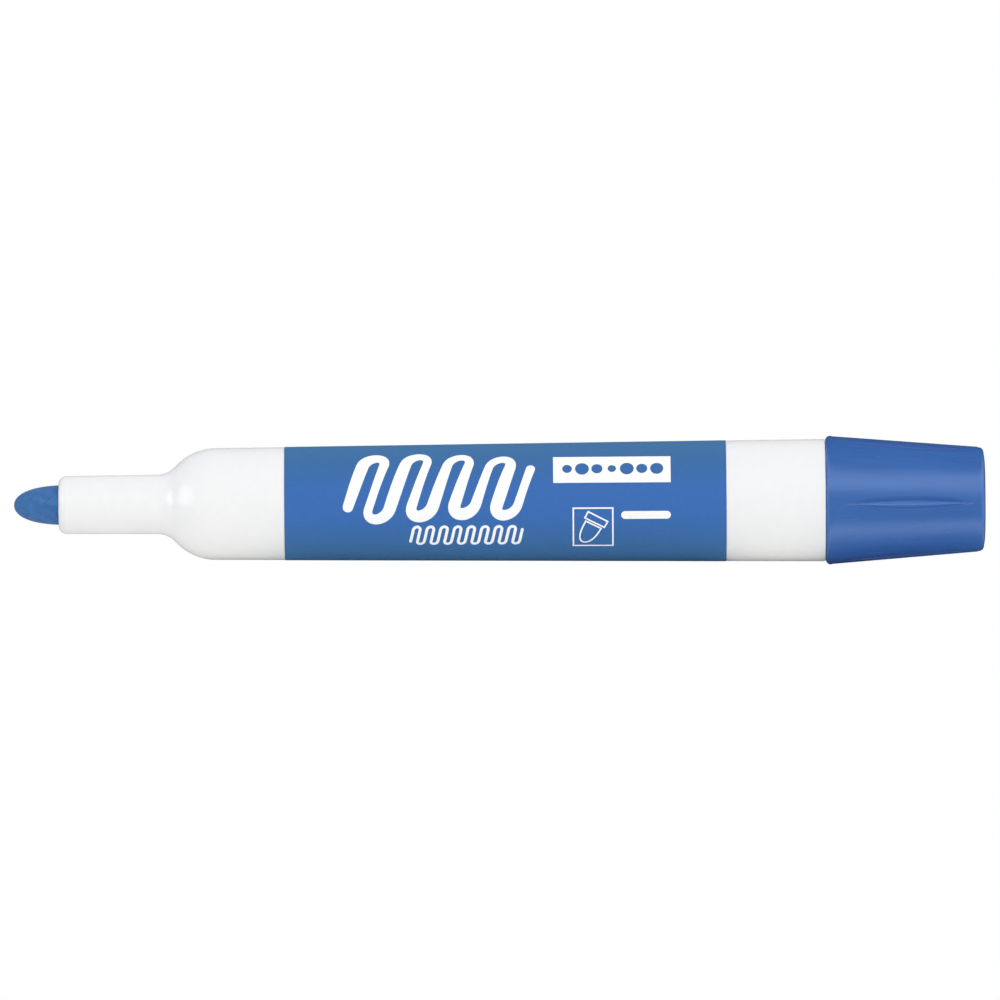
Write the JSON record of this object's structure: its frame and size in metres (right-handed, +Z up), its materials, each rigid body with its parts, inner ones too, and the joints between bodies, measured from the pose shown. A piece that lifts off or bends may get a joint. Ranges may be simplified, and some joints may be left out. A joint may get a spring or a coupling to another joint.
{
  "type": "felt tip marker",
  "caption": "Bullet-tip felt marker with a slim nozzle, wrapped label and a fluted cap posted on its back end.",
  "frame": {"origin": "on the surface the marker lies on, under the middle of its length and of its width, below the axis by the cap's largest radius", "axes": "+X along the marker's axis from the nib to the cap's closed end; +Z up, away from the surface it lies on; the label's front faces -Y and its seam faces +Y"},
  "size_m": [0.14, 0.0186, 0.0186],
  "materials": {
    "white_plastic": "smooth, slightly glossy white polypropylene",
    "label_film": "blue printed film with a soft gloss and plain white marks",
    "blue_plastic": "satin to glossy blue polypropylene",
    "natural_plastic": "uncoloured, slightly milky polypropylene",
    "nib_fibre": "ink-stained bonded fibre, matt",
    "reservoir_fibre": "ink-soaked bonded fibre",
    "wrap_film": "thin smooth film"
  },
  "bodies": {
    "marker_body": {"barrel": "white_plastic", "label": "label_film", "nib": "nib_fibre", "reservoir_core": "reservoir_fibre", "reservoir_film": "wrap_film", "end_plug": "blue_plastic"},
    "cap": {"cap_shell": "blue_plastic", "cap_inner_seal": "natural_plastic"}
  },
  "joints": [
    {"name": "cap_pull", "type": "slide", "parent": "marker_body", "child": "cap", "axis": [1, 0, 0], "range_m": [0, 0.025]}
  ]
}
